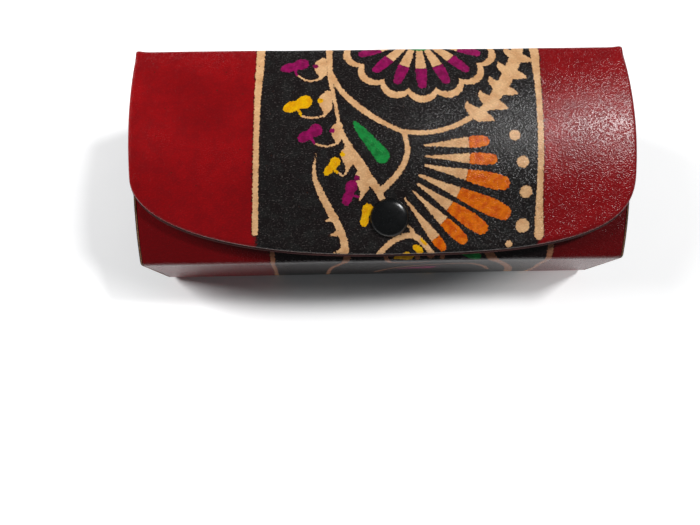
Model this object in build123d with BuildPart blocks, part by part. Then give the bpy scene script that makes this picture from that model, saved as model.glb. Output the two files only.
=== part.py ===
from build123d import *
import math
import os

os.makedirs("parts", exist_ok=True)

# A hard eyeglasses case, lying on its back. +X runs along the case, -Y is the bottom wall, +Y is the fold
# of the flap, +Z is up through the arched front. The origin is under the middle of the case, on the table.
# All sizes are in millimetres.

# Overall sizes
body_half_length = 80.2
flap_half_length = 79.4
half_depth = 34.2
crease_height = 30.7

# Layers, counted inwards from the outer face
leather = 1.2
glue = 0.05
board = 1.55
lining = 0.45
flap_board_thickness = 0.75
board_start = leather + glue
lining_start = board_start + board + glue
wall = lining_start + lining
flap_lining_start = board_start + flap_board_thickness + glue
flap_wall = flap_lining_start + lining

# The arched front of the body: a circle through the bottom crease, seen along X
front_centre = (10.85, -50.7)
front_radius = 93.0

# Corner between the back and the bottom wall, and the crease between the bottom wall and the front
back_corner_radius = 4.0
crease_radius = 2.0

# Mouth of the pocket, and the leather turned in over the edge of the boards
mouth_y = 30.2
turn_in = 1.2

# The two leather folds that act as hinges. Each axis lies in the middle of the leather.
fold_y = half_depth - leather / 2
rear_fold_z = leather / 2
fold_gap = 0.3
rear_leather_end = fold_y - leather / 2 - fold_gap

# The boards stop this far from the two fold axes, so that only leather and lining bend
rear_hinge_gap = 3.0
front_hinge_gap = 2.6

# The flap: a wide arch, then a gentle upward sweep to its lower edge
arch_centre = (11.5, -29.1)
arch_radius = 77.0
sweep_radius = 270.0
sweep_angle = 109.5
sweep_end_angle = 104.5
flap_corner_y = -9.0
flap_edge_y = -33.1
flap_left_power = 2.2
flap_right_power = 2.9
flap_corner_points = 24
flap_board_margin = 3.0

# Cutting and trimming shapes run past the pieces by this much
past = 5.0
above_all = 2 * crease_height

# The snap, on the middle of the flap's lower part
snap_x = 1.4
snap_y = -22.0
post_radius = 1.7
hole_radius = 1.8
socket_radius = 5.6
socket_hole_radius = 5.9
stud_seat_radius = 5.0
stud_seat_height = -4.3


def on_circle(centre, radius, angle):
    """The point of a circle at an angle in degrees."""
    turn = math.radians(angle)
    return (centre[0] + radius * math.cos(turn), centre[1] + radius * math.sin(turn))


def height_on_circle(centre, radius, y):
    """Height of the upper half of a circle over y."""
    return centre[1] + math.sqrt(radius**2 - (y - centre[0]) ** 2)


def arc(centre, radius, start, end):
    """Draw an arc between two angles in degrees."""
    middle = (start + end) / 2
    points = [on_circle(centre, radius, angle) for angle in (start, middle, end)]
    ThreePointArc(*points)


def body_region(inset, mouth):
    """Everything inside the body's outline, moved in by inset, from the bottom wall to y = mouth."""
    wall_y = -half_depth + inset
    radius = front_radius - inset
    crease = (wall_y, height_on_circle(front_centre, radius, wall_y))
    middle = (0, height_on_circle(front_centre, radius, 0))
    edge = (mouth, height_on_circle(front_centre, radius, mouth))
    with BuildSketch() as region:
        with BuildLine():
            Polyline(edge, (mouth, inset), (wall_y, inset), crease)
            ThreePointArc(crease, middle, edge)
        make_face()
        low_corner = region.vertices().group_by(Axis.X)[0].sort_by(Axis.Y)[0]
        fillet(low_corner, max(back_corner_radius - inset, 0.4))
        high_corner = region.vertices().group_by(Axis.X)[0].sort_by(Axis.Y)[-1]
        fillet(high_corner, max(crease_radius - inset, 0.2))
    return region.sketch


def body_band(outer, inner, mouth):
    """The layer of the body between two insets: front, bottom wall and back in one strip."""
    with BuildSketch() as band:
        add(body_region(outer, mouth))
        add(body_region(inner, mouth + past), mode=Mode.SUBTRACT)
    return band.sketch


def window(low_y, high_y, low_z, high_z, mode=Mode.INTERSECT):
    """Keep, add or cut a rectangle of the current sketch."""
    with Locations(((low_y + high_y) / 2, (low_z + high_z) / 2)):
        Rectangle(high_y - low_y, high_z - low_z, mode=mode)


def flap_band(outer, inner, start):
    """The layer of the flap between two insets. start is the angle on the arch where it begins."""
    sweep_start = sweep_angle - 180
    sweep_end = sweep_end_angle - 180
    with BuildSketch() as band:
        with BuildLine():
            arc(arch_centre, arch_radius - outer, start, sweep_angle)
            arc(sweep_centre, sweep_radius + outer, sweep_start, sweep_end)
            Line(
                on_circle(sweep_centre, sweep_radius + outer, sweep_end),
                on_circle(sweep_centre, sweep_radius + inner, sweep_end),
            )
            arc(sweep_centre, sweep_radius + inner, sweep_end, sweep_start)
            arc(arch_centre, arch_radius - inner, sweep_angle, start)
            Line(
                on_circle(arch_centre, arch_radius - inner, start),
                on_circle(arch_centre, arch_radius - outer, start),
            )
        make_face()
    return band.sketch


def flap_outline(margin):
    """The flap in plan: straight sides and a wide D-shaped lower edge, fuller at the right corner."""
    half_width = flap_half_length - margin
    back_y = half_depth + past
    drop = flap_corner_y - flap_edge_y - margin
    corner = []
    for step in range(flap_corner_points + 1):
        turn = math.pi * step / flap_corner_points
        power = flap_right_power if 2 * step < flap_corner_points else flap_left_power
        reach = abs(math.cos(turn)) ** (2 / power)
        side = math.copysign(reach, math.cos(turn))
        depth = abs(math.sin(turn)) ** (2 / power)
        corner.append((half_width * side, flap_corner_y - drop * depth))
    with BuildSketch() as outline:
        with BuildLine():
            for first in range(0, flap_corner_points, 2):
                ThreePointArc(*corner[first : first + 3])
            Polyline(corner[-1], (-half_width, back_y), (half_width, back_y), corner[0])
        make_face()
    return outline.sketch


def cut_snap_hole(radius, top, bottom):
    """Cut a round hole along the snap's axis, between two heights over the flap's outer face."""
    with BuildSketch(snap_plane.offset(bottom), mode=Mode.PRIVATE) as hole:
        Circle(radius)
    extrude(hole.sketch, amount=top - bottom, mode=Mode.SUBTRACT)


def finish(builder, name):
    """Label a piece and write it."""
    builder.part.label = name
    export_step(builder.part, f"parts/{name}.step")


# Where the flap's arch passes into its lower sweep, and where its leather ends beyond the front fold
sweep_point = on_circle(arch_centre, arch_radius, sweep_angle)
sweep_centre = on_circle(sweep_point, sweep_radius, sweep_angle)
fold_radius = arch_radius - leather / 2
front_fold_z = height_on_circle(arch_centre, fold_radius, fold_y)
fold_angle = math.degrees(math.acos((fold_y - arch_centre[0]) / fold_radius))
leather_overrun = 0.45
top_leather_gap = 1.05
leather_angle = fold_angle - math.degrees(leather_overrun / fold_radius)
board_angle = fold_angle + math.degrees(front_hinge_gap / fold_radius)

# The snap's axis stands square to the flap
snap_drop = math.sqrt(sweep_radius**2 - (snap_y - sweep_centre[0]) ** 2)
snap_centre = (snap_x, snap_y, sweep_centre[1] - snap_drop)
snap_axis = Vector(0, (sweep_centre[0] - snap_y) / sweep_radius, snap_drop / sweep_radius)
snap_plane = Plane(origin=snap_centre, x_dir=(1, 0, 0), z_dir=snap_axis)
snap_section = Plane(origin=snap_centre, x_dir=(1, 0, 0), z_dir=Vector(1, 0, 0).cross(snap_axis))
snap_line = Axis(snap_centre, snap_axis)

# ---- Body -------------------------------------------------------------------------------------------

wrap_half_length = body_half_length - leather - glue
board_half_length = wrap_half_length - board
lining_half_length = board_half_length - glue - lining

# One strip of leather: front, bottom wall and back, turned in at the mouth
with BuildPart() as wrap_leather:
    with BuildSketch(Plane.YZ.offset(-wrap_half_length)):
        add(body_band(0, leather, mouth_y))
        window(mouth_y - past, rear_leather_end, 0, leather, Mode.ADD)
    extrude(amount=2 * wrap_half_length)
    with BuildSketch(Plane.YZ.offset(-lining_half_length)):
        add(body_band(leather / 2, wall, mouth_y))
        window(mouth_y - turn_in, mouth_y, crease_height, above_all)
    extrude(amount=2 * lining_half_length)
    cut_snap_hole(hole_radius, 0, -2 * past)
    cut_snap_hole(stud_seat_radius, 0, stud_seat_height)
finish(wrap_leather, "wrap_leather")

board_top = board_start + board
board_joint_z = height_on_circle(front_centre, front_radius - board_top, -half_depth + board_start)
board_mouth = mouth_y - turn_in - glue

# Three stiff boards inside the wrap
with BuildPart() as front_board:
    with BuildSketch(Plane.YZ.offset(-board_half_length)):
        add(body_band(board_start, board_top, board_mouth))
        window(-half_depth, half_depth, board_joint_z + glue, above_all)
    extrude(amount=2 * board_half_length)
    cut_snap_hole(hole_radius, 0, -2 * past)
finish(front_board, "front_board")

with BuildPart() as bottom_board:
    with BuildSketch(Plane.YZ.offset(-board_half_length)):
        add(body_band(board_start, board_top, board_mouth))
        window(-half_depth, back_corner_radius - half_depth - glue, 0, board_joint_z)
    extrude(amount=2 * board_half_length)
finish(bottom_board, "bottom_board")

with BuildPart() as back_board:
    with BuildSketch(Plane.YZ.offset(-board_half_length)):
        window(back_corner_radius - half_depth, fold_y - rear_hinge_gap, board_start, board_top, Mode.ADD)
    extrude(amount=2 * board_half_length)
finish(back_board, "back_board")

# The soft lining of the pocket, in one strip
with BuildPart() as pocket_lining:
    with BuildSketch(Plane.YZ.offset(-lining_half_length)):
        add(body_band(lining_start, wall, board_mouth))
    extrude(amount=2 * lining_half_length)
    cut_snap_hole(hole_radius, 0, -2 * past)
finish(pocket_lining, "pocket_lining")

# End walls: leather outside, stiff board, lining inside. Each is an arched-topped panel. The leather panel
# covers the cut edges of the wrap, so its own cut edge shows from above.
for side, side_name in ((-1, "left"), (1, "right")):
    with BuildPart() as end_lining:
        with BuildSketch(Plane.YZ.offset(side * lining_half_length)):
            add(body_region(wall + glue, board_mouth))
        extrude(amount=side * lining)
    finish(end_lining, f"{side_name}_end_lining")

    with BuildPart() as end_board:
        with BuildSketch(Plane.YZ.offset(side * (board_half_length + glue))):
            add(body_region(board_start, board_mouth))
        extrude(amount=side * (board - 2 * glue))
    finish(end_board, f"{side_name}_end_board")

    with BuildPart() as end_leather:
        with BuildSketch(Plane.YZ.offset(side * (wrap_half_length + glue))):
            add(body_region(0, mouth_y))
        extrude(amount=side * leather)
        with BuildSketch(Plane.YZ.offset(side * lining_half_length)):
            add(body_region(wall + glue, mouth_y))
            window(mouth_y - turn_in, mouth_y, 0, above_all)
        extrude(amount=side * (body_half_length - lining_half_length))
    finish(end_leather, f"{side_name}_end_leather")

# ---- Top panel, which turns on the rear fold -----------------------------------------------------------

top_board_start = rear_fold_z + rear_hinge_gap
top_board_end = front_fold_z - front_hinge_gap
with BuildPart() as top_leather:
    with BuildSketch(Plane.YZ.offset(-flap_half_length)):
        window(half_depth - leather, half_depth, 0, front_fold_z - top_leather_gap, Mode.ADD)
    extrude(amount=2 * flap_half_length)
finish(top_leather, "top_leather")

flap_board_half_length = flap_half_length - flap_board_margin
with BuildPart() as top_board:
    with BuildSketch(Plane.YZ.offset(-flap_board_half_length)):
        window(half_depth - board_top, half_depth - board_start, top_board_start, top_board_end, Mode.ADD)
    extrude(amount=2 * flap_board_half_length)
finish(top_board, "top_board")

# The lining closes over the ends of the board
with BuildPart() as top_lining:
    with BuildSketch(Plane.YZ.offset(-flap_half_length)):
        window(half_depth - wall, half_depth - board_start, top_board_start, top_board_end, Mode.ADD)
    extrude(amount=2 * flap_half_length)
    with BuildSketch(Plane.YZ.offset(-flap_board_half_length - glue)):
        window(half_depth - lining_start, half_depth, 0, above_all, Mode.ADD)
    extrude(amount=2 * (flap_board_half_length + glue), mode=Mode.SUBTRACT)
finish(top_lining, "top_lining")

# ---- Flap, which turns on the front fold ---------------------------------------------------------------

with BuildPart() as flap_leather:
    with BuildSketch(Plane.YZ.offset(-body_half_length)):
        add(flap_band(0, leather, leather_angle))
    extrude(amount=2 * body_half_length)
    with BuildSketch(Plane.XY):
        add(flap_outline(0))
    extrude(amount=above_all, mode=Mode.INTERSECT)
    cut_snap_hole(hole_radius, past, -past)
finish(flap_leather, "flap_leather")

with BuildPart() as flap_board:
    with BuildSketch(Plane.YZ.offset(-body_half_length)):
        add(flap_band(board_start, board_start + flap_board_thickness, board_angle))
    extrude(amount=2 * body_half_length)
    with BuildSketch(Plane.XY):
        add(flap_outline(flap_board_margin))
    extrude(amount=above_all, mode=Mode.INTERSECT)
    cut_snap_hole(socket_hole_radius, past, -past)
finish(flap_board, "flap_board")

with BuildPart() as flap_lining:
    with BuildSketch(Plane.YZ.offset(-body_half_length)):
        add(flap_band(board_start, flap_wall, board_angle))
    extrude(amount=2 * body_half_length)
    with BuildSketch(Plane.XY):
        add(flap_outline(0))
    extrude(amount=above_all, mode=Mode.INTERSECT)
    with BuildPart(mode=Mode.PRIVATE) as board_room:
        with BuildSketch(Plane.YZ.offset(-body_half_length)):
            add(flap_band(0, flap_lining_start, leather_angle))
        extrude(amount=2 * body_half_length)
        with BuildSketch(Plane.XY):
            add(flap_outline(flap_board_margin - glue))
        extrude(amount=above_all, mode=Mode.INTERSECT)
    add(board_room.part, mode=Mode.SUBTRACT)
    cut_snap_hole(socket_hole_radius, past, -past)
finish(flap_lining, "flap_lining")

# ---- Snap ----------------------------------------------------------------------------------------------
# Heights are counted along the snap's axis from the flap's outer face, so they fall inwards.

with BuildPart() as snap_cap:
    with BuildSketch(snap_section):
        with BuildLine():
            Line((0, 1.9), (1.0, 1.89))
            ThreePointArc((1.0, 1.89), (3.2, 1.74), (4.9, 1.42))
            ThreePointArc((4.9, 1.42), (5.85, 1.0), (6.2, 0.3))
            Polyline((6.2, 0.3), (6.2, 0.12), (post_radius, 0.12), (post_radius, -1.95), (2.4, -1.95))
            Polyline((2.4, -1.95), (2.4, -2.2), (0, -2.2), (0, 1.9))
        make_face()
    revolve(axis=snap_line)
finish(snap_cap, "snap_cap")

with BuildPart() as snap_socket:
    with BuildSketch(snap_section):
        with BuildLine():
            Polyline((1.75, -1.25), (5.1, -1.25), (socket_radius, -1.6), (socket_radius, -3.0), (5.0, -3.6))
            Polyline((5.0, -3.6), (3.35, -3.6), (3.35, -3.2), (4.2, -3.2), (4.2, -2.5), (3.35, -2.5))
            Polyline((3.35, -2.5), (3.35, -1.9), (1.75, -1.9), (1.75, -1.25))
        make_face()
    revolve(axis=snap_line)
finish(snap_socket, "snap_socket")

# A split ring in the socket's groove, which grips under the stud's head
with BuildPart() as snap_spring:
    with BuildSketch(snap_section):
        with Locations((3.75, -2.85)):
            Circle(0.3)
    revolve(axis=snap_line, revolution_arc=325)
finish(snap_spring, "snap_spring")

with BuildPart() as snap_stud:
    with BuildSketch(snap_section):
        with BuildLine():
            Polyline((post_radius + 0.1, -4.25), (4.8, -4.25), (4.8, -3.95), (3.0, -3.75), (2.75, -3.4))
            Line((2.75, -3.4), (3.1, -2.9))
            ThreePointArc((3.1, -2.9), (2.95, -2.55), (2.5, -2.35))
            Polyline((2.5, -2.35), (0, -2.35), (0, -2.7), (post_radius + 0.1, -2.7))
            Line((post_radius + 0.1, -2.7), (post_radius + 0.1, -4.25))
        make_face()
    revolve(axis=snap_line)
finish(snap_stud, "snap_stud")

with BuildPart() as snap_post:
    with BuildSketch(snap_section):
        with BuildLine():
            Polyline((0, -2.8), (post_radius, -2.8), (post_radius, -7.95), (4.4, -7.95), (4.2, -8.3))
            Polyline((4.2, -8.3), (0, -8.4), (0, -2.8))
        make_face()
    revolve(axis=snap_line)
finish(snap_post, "snap_post")

print(f"rear fold at y {fold_y:.3f}, z {rear_fold_z:.3f}")
print(f"front fold at y {fold_y:.3f}, z {front_fold_z:.3f}")
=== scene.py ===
import math

import bmesh
import bpy
import numpy as np
from mathutils import Euler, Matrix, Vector


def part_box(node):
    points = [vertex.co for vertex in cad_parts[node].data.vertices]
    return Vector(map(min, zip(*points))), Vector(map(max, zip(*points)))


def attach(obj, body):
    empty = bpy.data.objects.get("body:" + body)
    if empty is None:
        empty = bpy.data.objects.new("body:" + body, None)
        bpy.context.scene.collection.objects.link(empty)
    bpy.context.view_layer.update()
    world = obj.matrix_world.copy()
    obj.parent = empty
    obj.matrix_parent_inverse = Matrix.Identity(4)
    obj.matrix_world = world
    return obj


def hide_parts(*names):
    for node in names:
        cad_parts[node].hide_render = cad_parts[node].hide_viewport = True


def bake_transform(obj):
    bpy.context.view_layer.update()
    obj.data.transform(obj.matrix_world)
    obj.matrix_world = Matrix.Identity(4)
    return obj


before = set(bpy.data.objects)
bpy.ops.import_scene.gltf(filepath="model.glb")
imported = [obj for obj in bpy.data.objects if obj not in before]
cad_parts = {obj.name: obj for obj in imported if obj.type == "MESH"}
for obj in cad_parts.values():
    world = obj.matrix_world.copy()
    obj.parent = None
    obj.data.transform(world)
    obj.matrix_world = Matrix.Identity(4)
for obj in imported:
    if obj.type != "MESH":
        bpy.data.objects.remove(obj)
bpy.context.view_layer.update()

# The looks of a hard eyeglasses case: one strip of batik leather around boards, a cloth lining and a snap.
# The script works in millimetres and turns them into metres when a mesh is made. +X runs along the case,
# +Y is the folded edge of the flap, +Z is up through the arched front.
#
# Every leather point also has a place on the flat hide: x along the case, and q along the strip. q is 0 on
# the front fold, grows down the flap, and falls down the top panel, along the back, up the bottom wall and
# over the front to the mouth. All patterns and grain are drawn there, so they stay with the leather.

MM = 0.001


# ---- Sizes from the frame


def corners(node):
    """Lowest and highest corner of a CAD node, in millimetres."""
    low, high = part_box(node)
    return low / MM, high / MM


WRAP_LOW, WRAP_HIGH = corners("wrap_leather")
END_LOW, END_HIGH = corners("right_end_leather")
FLAP_LOW, FLAP_HIGH = corners("flap_leather")
END_LINING_LOW, END_LINING_HIGH = corners("right_end_lining")

# Thicknesses, as in the CAD. A wall is leather, board and lining with their glue.
LEATHER = 1.2
GLUE = 0.05
WALL = 3.3
FLAP_WALL = 2.5
LINING = 0.45

# Half lengths along x, half the depth, the mouth and how far leather turns in there, and the folds' axes
WRAP_HALF = WRAP_HIGH.x
BODY_HALF = END_HIGH.x
FLAP_HALF = FLAP_HIGH.x
HALF_DEPTH = -WRAP_LOW.y
MOUTH = END_HIGH.y
TURN_IN = 1.2

# The arched front, the crease under it and the corner at the back
FRONT_CENTRE = (10.85, -50.7)
FRONT_RADIUS = 93.0
CREASE_RADIUS = 2.0
BACK_RADIUS = 4.0

# The flap: an arch, then a gentle upward sweep
ARCH_CENTRE = (11.5, -29.1)
ARCH_RADIUS = 77.0
SWEEP_ANGLE = 109.5
SWEEP_RADIUS = 270.0
FLAP_CORNER = -9.0
FLAP_EDGE = FLAP_LOW.y
FLAP_LEFT_POWER = 2.2
FLAP_RIGHT_POWER = 2.9

# The two folds in the leather, and where one piece of the strip passes into the next
REAR_FOLD_RADIUS = 1.5
FRONT_FOLD_RADIUS = 1.6
BACK_SEAM = 18.0
TOP_SEAM = 20.0

# Snap
SNAP_X = 1.4
SNAP_Y = -22.0


# ---- Paths: the strip seen from its end, as (y, z)


def on_circle(centre, radius, degrees):
    turn = math.radians(degrees)
    return np.array([centre[0] + radius * math.cos(turn), centre[1] + radius * math.sin(turn)])


def angle_at(centre, radius, y):
    """Angle of the upper half of a circle over y, in degrees."""
    return math.degrees(math.acos((y - centre[0]) / radius))


def line(start, end, step):
    count = max(1, round(math.dist(start, end) / step))
    share = np.linspace(0, 1, count + 1)[:, None]
    return np.array(start) * (1 - share) + np.array(end) * share


def bow(centre, radius, start, end, step):
    """Points on an arc between two angles in degrees."""
    length = abs(math.radians(end - start)) * radius
    count = max(4, round(length / step))
    return np.array([on_circle(centre, radius, a) for a in np.linspace(start, end, count + 1)])


def join(*runs):
    """One path from several runs, without doubled points."""
    points = [runs[0]]
    for run in runs[1:]:
        points.append(run[1:] if math.dist(points[-1][-1], run[0]) < 1e-6 else run)
    return np.concatenate(points)


def lengths(path):
    """Length along a path up to each of its points."""
    return np.concatenate([[0], np.cumsum(np.hypot(*np.diff(path, axis=0).T))])


def outward(path):
    """Unit vectors to the right of the path's direction, which is outward for the leather strip."""
    ahead = np.gradient(path, axis=0)
    ahead /= np.linalg.norm(ahead, axis=1)[:, None]
    return np.stack([ahead[:, 1], -ahead[:, 0]], axis=1)


SWEEP_START = on_circle(ARCH_CENTRE, ARCH_RADIUS, SWEEP_ANGLE)
SWEEP_CENTRE = on_circle(SWEEP_START, SWEEP_RADIUS, SWEEP_ANGLE)


def arch_run(inset, start, step):
    """The arch and the sweep of the flap, moved in by inset, from an angle on the arch to past its edge."""
    arch = bow(ARCH_CENTRE, ARCH_RADIUS - inset, start, SWEEP_ANGLE, step)
    sweep = bow(SWEEP_CENTRE, SWEEP_RADIUS + inset, SWEEP_ANGLE - 180, -75.5, step)
    return join(arch, sweep)


def front_run(inset, step):
    """The body's outline from the mouth to the back seam, moved in by inset."""
    radius = FRONT_RADIUS - inset
    wall = -HALF_DEPTH + inset
    crease = max(CREASE_RADIUS - inset, 0.4)
    corner = max(BACK_RADIUS - inset, 0.5)
    drop = math.sqrt((radius - crease) ** 2 - (wall + crease - FRONT_CENTRE[0]) ** 2)
    crease_centre = (wall + crease, FRONT_CENTRE[1] + drop)
    reach = math.degrees(math.atan2(drop, wall + crease - FRONT_CENTRE[0]))
    corner_centre = (wall + corner, inset + corner)
    return join(
        bow(FRONT_CENTRE, radius, angle_at(FRONT_CENTRE, radius, MOUTH - TURN_IN), reach, step),
        bow(crease_centre, crease, reach, 180, step / 3),
        line((wall, crease_centre[1]), (wall, corner_centre[1]), step),
        bow(corner_centre, corner, 180, 270, step / 2),
        line((corner_centre[0], inset), (BACK_SEAM, inset), 2 * step),
    )


# ---- Batik pattern
# A brush stroke is a list of (x, q, half width) on the hide. Each dye is a signed distance in millimetres,
# below zero where the dye is, and at most FAR.

FAR = 4.0
DYES = ("black", "tan", "magenta", "yellow", "green", "orange")


def smooth(points, steps=7):
    """A Catmull-Rom line through the points."""
    p = np.array(points, float)
    p = np.concatenate([[2 * p[0] - p[1]], p, [2 * p[-1] - p[-2]]])
    t = np.arange(steps)[:, None] / steps
    runs = []
    for a, b, c, d in zip(p[:-3], p[1:-2], p[2:-1], p[3:]):
        bend = 2 * b + (c - a) * t + (2 * a - 5 * b + 4 * c - d) * t**2 + (3 * b - a - 3 * c + d) * t**3
        runs.append(bend / 2)
    runs.append(p[-2:-1])
    return np.concatenate(runs)


class Batik:
    """The dyes at each point of one sheet of leather."""

    def __init__(self, place):
        self.place = place
        self.dye = {name: np.full(len(place), FAR) for name in DYES}

    def lay(self, dye, distance, where=slice(None)):
        self.dye[dye][where] = np.minimum(self.dye[dye][where], distance)

    def stroke(self, dye, points, within=None):
        """One brush stroke. within is a distance that cuts it off where it is above zero."""
        brush = smooth(points)
        low = brush[:, :2].min(0) - FAR
        high = brush[:, :2].max(0) + FAR
        where = np.flatnonzero(((self.place > low) & (self.place < high)).all(1))
        place = self.place[where]
        nearest = np.full(len(place), FAR)
        for start, end in zip(brush[:-1], brush[1:]):
            along = end[:2] - start[:2]
            apart = place - start[:2]
            share = np.clip(apart @ along / max(along @ along, 1e-9), 0, 1)
            gap = np.hypot(*(apart - share[:, None] * along).T)
            nearest = np.minimum(nearest, gap - start[2] - share * (end[2] - start[2]))
        if within is not None:
            nearest = np.maximum(nearest, within[where])
        self.lay(dye, nearest, where)

    def strokes(self, dye, *lines):
        for points in lines:
            self.stroke(dye, points)

    def dot(self, dye, x, q, radius):
        self.lay(dye, np.hypot(self.place[:, 0] - x, self.place[:, 1] - q) - radius)

    def ring(self, dye, x, q, radius, half_width):
        away = np.hypot(self.place[:, 0] - x, self.place[:, 1] - q)
        self.lay(dye, np.abs(away - radius) - half_width)

    def scallops(self, x, q, radius, swell, lobes, half_width):
        """A wavy ring round a flower, with pinched valleys between its lobes."""
        apart = self.place - (x, q)
        away = np.hypot(*apart.T)
        angle = np.arctan2(apart[:, 1], apart[:, 0])
        edge = radius + swell * (2 * np.abs(np.cos(angle * lobes / 2)) ** 0.7 - 1)
        self.lay("tan", np.abs(away - edge) * 0.9 - half_width)

    def band(self, left, right):
        """The black band between two tan stripes, which are strokes with growing q."""
        left_line, right_line = smooth(left), smooth(right)
        q = self.place[:, 1]
        low = np.interp(q, left_line[:, 1], left_line[:, 0])
        high = np.interp(q, right_line[:, 1], right_line[:, 0])
        outside = np.maximum(low - self.place[:, 0], self.place[:, 0] - high)
        self.lay("black", np.clip(outside, -FAR, FAR))


def petal(start, end, half_width):
    """A brush stroke from a sharp root to a round end."""
    start, end = np.array(start, float), np.array(end, float)
    root = 0.15
    points = []
    for share, width in ((0, root), (0.3, 0.42), (0.6, 0.8), (0.85, 1.0), (1, 0.84)):
        points.append((*(start + (end - start) * share), max(width * half_width, root)))
    return points


def two_colours(batik, dye, start, end, half_width, share):
    """A petal that is bare near its root and dyed beyond a share of its length."""
    start, end = np.array(start, float), np.array(end, float)
    length = np.linalg.norm(end - start)
    past = (batik.place - start) @ ((end - start) / length) - share * length
    batik.stroke("tan", petal(start, end, half_width), within=past)
    batik.stroke(dye, petal(start, end, half_width), within=-past)


def flower(batik, x, q):
    """A round flower with a green heart, petals with magenta tips and a scalloped edge."""
    petals, heart, border, tip = 16, 6.5, 14.0, 20.1
    away = np.hypot(batik.place[:, 0] - x, batik.place[:, 1] - q)
    bare = ((heart - 1, 0.85), (10, 1.35), (border, 1.7), (border + 2, 1.75))
    tinted = ((border - 2, 1.75), (border + 1, 1.8), (border + 3.5, 1.7), (tip, 1.35))
    for step in range(petals):
        turn = 2 * math.pi * step / petals
        c, s = math.cos(turn), math.sin(turn)
        for dye, shape, past in (("tan", bare, away - border), ("magenta", tinted, border - away)):
            batik.stroke(dye, [(x + r * c, q + r * s, half) for r, half in shape], within=past)
    batik.dot("green", x, q, heart)
    batik.scallops(x, q, 23.9, 1.35, petals, 1.05)


def bud(batik, dye, x, q, turn, size):
    """A bud of two lobes, the larger one ahead along turn."""
    c, s = math.cos(turn), math.sin(turn)
    lobes = ((-1.35, 0.6), (-0.7, 0.8), (0.1, 0.62), (1.25, 1.0))
    batik.stroke(dye, [(x + along * size * c, q + along * size * s, half * size) for along, half in lobes])


def sprig(batik, dye, x, q, swelling, bud_x, bud_q, size, turn=-18):
    """A swelling at (x, q) beside a vine, with a thin curl that hangs under a bud and carries it."""
    w = swelling
    side_x, side_q = -size * math.sin(math.radians(turn)), size * math.cos(math.radians(turn))
    end_x, end_q = bud_x + 1.7 * side_x, bud_q + 1.7 * side_q
    low = max(q + 2.8 * w, end_q + 0.7)
    body = ((0.4, -1.3, 0.5), (0.3, -0.7, 0.8), (0, 0, 1.1), (0.2, 1.1, 0.85), (0.1, 1.9, 0.45))
    curl = [(x - 0.3 * w, low - 0.5, 0.34), ((x - 0.3 * w + end_x) / 2, low + 0.1, 0.32),
            (end_x + 0.4, end_q + 0.2, 0.3), (end_x, end_q, 0.3)]
    batik.stroke("tan", [(x + along * w, q + down * w, half * w) for along, down, half in body] + curl)
    batik.stroke(dye, [(end_x, end_q, 0.34), (bud_x + 0.5 * side_x, bud_q + 0.5 * side_q, 0.5)])
    batik.dot(dye, x - 0.8 * w, q, 0.45 * w)
    bud(batik, dye, bud_x, bud_q, math.radians(turn), size)


def thorn(batik, x, q, tip_x, tip_q, root, bend):
    """A thorn that curves from a broad root to a sharp tip. bend pushes its middle along x."""
    middle = ((x + tip_x) / 2 + bend, (q + tip_q) / 2, 0.6 * root)
    batik.stroke("tan", [(x, q, root), middle, (tip_x, tip_q, 0.1)])


def flap_pattern(batik):
    """Top panel and flap: the flower over the fold, a vine with buds, a thorny branch and a fan."""
    left = [(-40.6, -60, 1.1), (-40.2, -30, 1.2), (-38.9, 0, 1.35), (-39.4, 21, 0.95), (-40.0, 40, 0.85),
            (-41.1, 61.4, 0.95)]
    right = [(47.4, -60, 1.2), (48.8, -30, 1.2), (50.0, -1, 1.45), (49.6, 8, 1.2), (49.2, 18, 0.95),
             (48.8, 44, 0.95), (48.9, 56, 1.2), (49.1, 63.4, 1.5)]
    batik.band(left + [(-41.0, 80, 1)], right + [(49.2, 80, 1)])
    batik.strokes("tan", left, right)
    flower(batik, 12.5, -5.3)
    budding_vine(batik)
    thorny_arc(batik)
    drop_and_fan(batik)
    lower_edge(batik)


def budding_vine(batik):
    """The main vine on the left, with swellings and buds."""
    batik.strokes("tan", [(-18.5, -44, 1.0), (-20.5, -28, 0.9), (-18.6, -12, 0.9), (-16.9, 0, 1.0),
                          (-16.6, 11, 0.8), (-15.3, 20, 0.55), (-13.6, 29, 0.55), (-10.6, 36, 1.1),
                          (-8.2, 40, 1.6), (-5.4, 44.4, 1.45), (-2.3, 48.4, 1.1), (-0.6, 52, 1.0)])
    sprig(batik, "magenta", -19.6, 7.4, 1.95, -28.2, 7.3, 2.2)
    sprig(batik, "yellow", -18.2, 20.0, 1.95, -27.2, 21.4, 2.25, -22)
    sprig(batik, "magenta", -14.8, 30.0, 1.7, -23.4, 31.0, 2.0, -30)
    sprig(batik, "yellow", -11.6, 37.4, 1.85, -16.7, 41.3, 1.6, -50)
    sprig(batik, "magenta", -7.0, 44.8, 2.1, -11.3, 49.6, 1.95, -70)
    bud(batik, "yellow", -6.1, 56.6, math.radians(-75), 1.75)


def thorny_arc(batik):
    """The long arc under the flower, which ends in a thorny branch."""
    branch = [(29.1, 25.4, 0.9), (33.6, 21.6, 1.5), (37.2, 16.6, 1.9), (40.6, 10.8, 2.0), (43.6, 4.4, 1.9),
              (45.6, -3, 1.8), (46.4, -11, 1.6), (46.2, -20, 1.2)]
    batik.strokes("tan", [(-16.4, 10, 0.8), (-13.5, 16.2, 0.85), (-9.4, 20.8, 0.95), (-5.3, 24.3, 0.9),
                          (-0.2, 27.6, 0.75), (5.4, 30.3, 0.7), (11.6, 31.0, 0.7), (17.4, 30.3, 0.7),
                          (22.7, 28.6, 0.75), (27, 26.4, 0.9)], branch)
    for x, q, _ in branch[:-1]:
        thorn(batik, x, q - 0.4, x - 2.9, q - 4.6, 2.0, -0.8)
        thorn(batik, x + 0.8, q + 0.2, x + 5.6, q + 1.8, 2.0, 0.3)


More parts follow.
